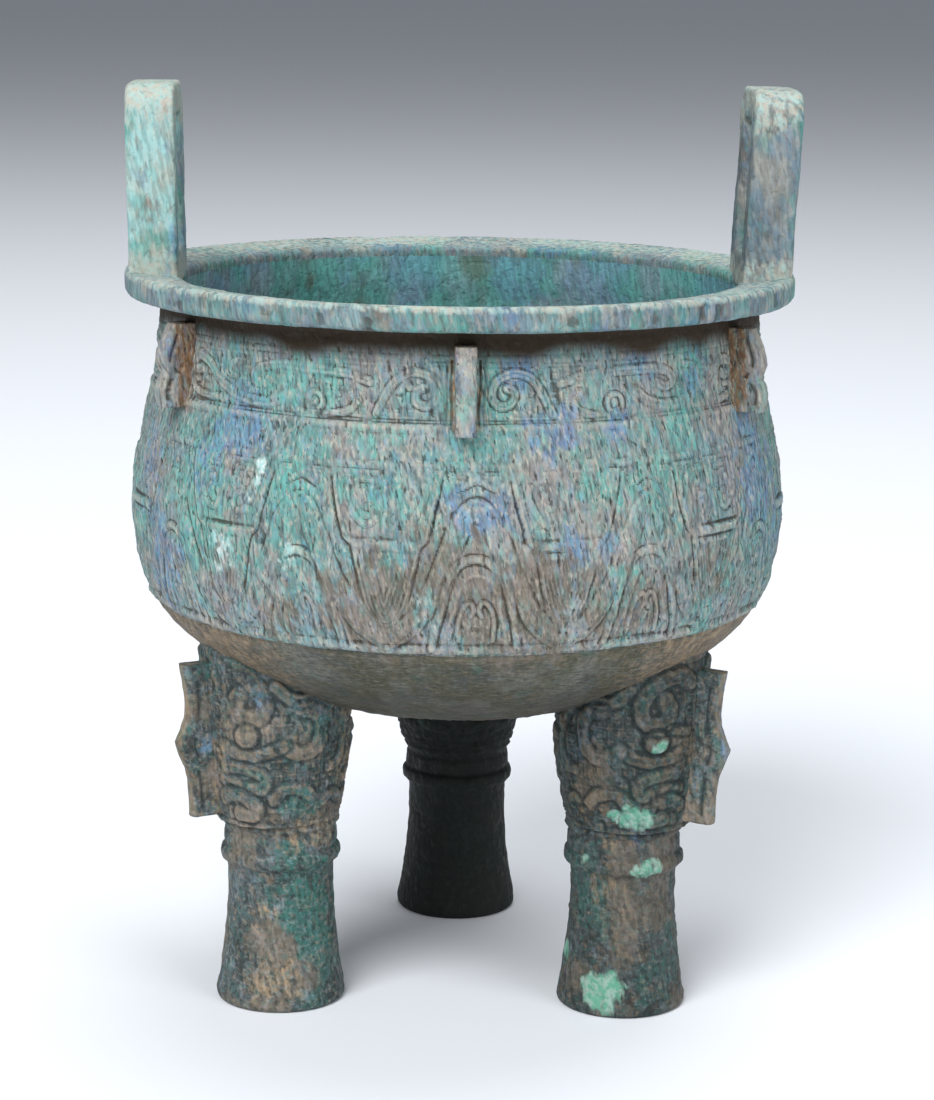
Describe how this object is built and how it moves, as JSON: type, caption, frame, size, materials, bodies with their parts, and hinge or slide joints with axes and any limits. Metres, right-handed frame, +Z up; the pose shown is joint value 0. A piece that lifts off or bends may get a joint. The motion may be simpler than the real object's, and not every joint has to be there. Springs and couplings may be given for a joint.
{
  "type": "bronze ding vessel",
  "caption": "Round bronze tripod cauldron with upright loop handles on a flat rim, flanged frieze, band of hanging blades and masked columnar legs; stands open and empty.",
  "frame": {"origin": "on the ground, at the middle of the vessel's plan: the axis of the round bowl meets the plane of the feet", "axes": "+Z up through the bowl's axis, the longest way; front towards -Y, with one flange facing it between two legs; handles at -X and +X"},
  "size_m": [0.176, 0.1766, 0.2401],
  "materials": {
    "old_bronze": "old bronze under a matt green, blue and sandy crust"
  },
  "bodies": {
    "root": {"ding_vessel": "old_bronze"}
  },
  "joints": []
}
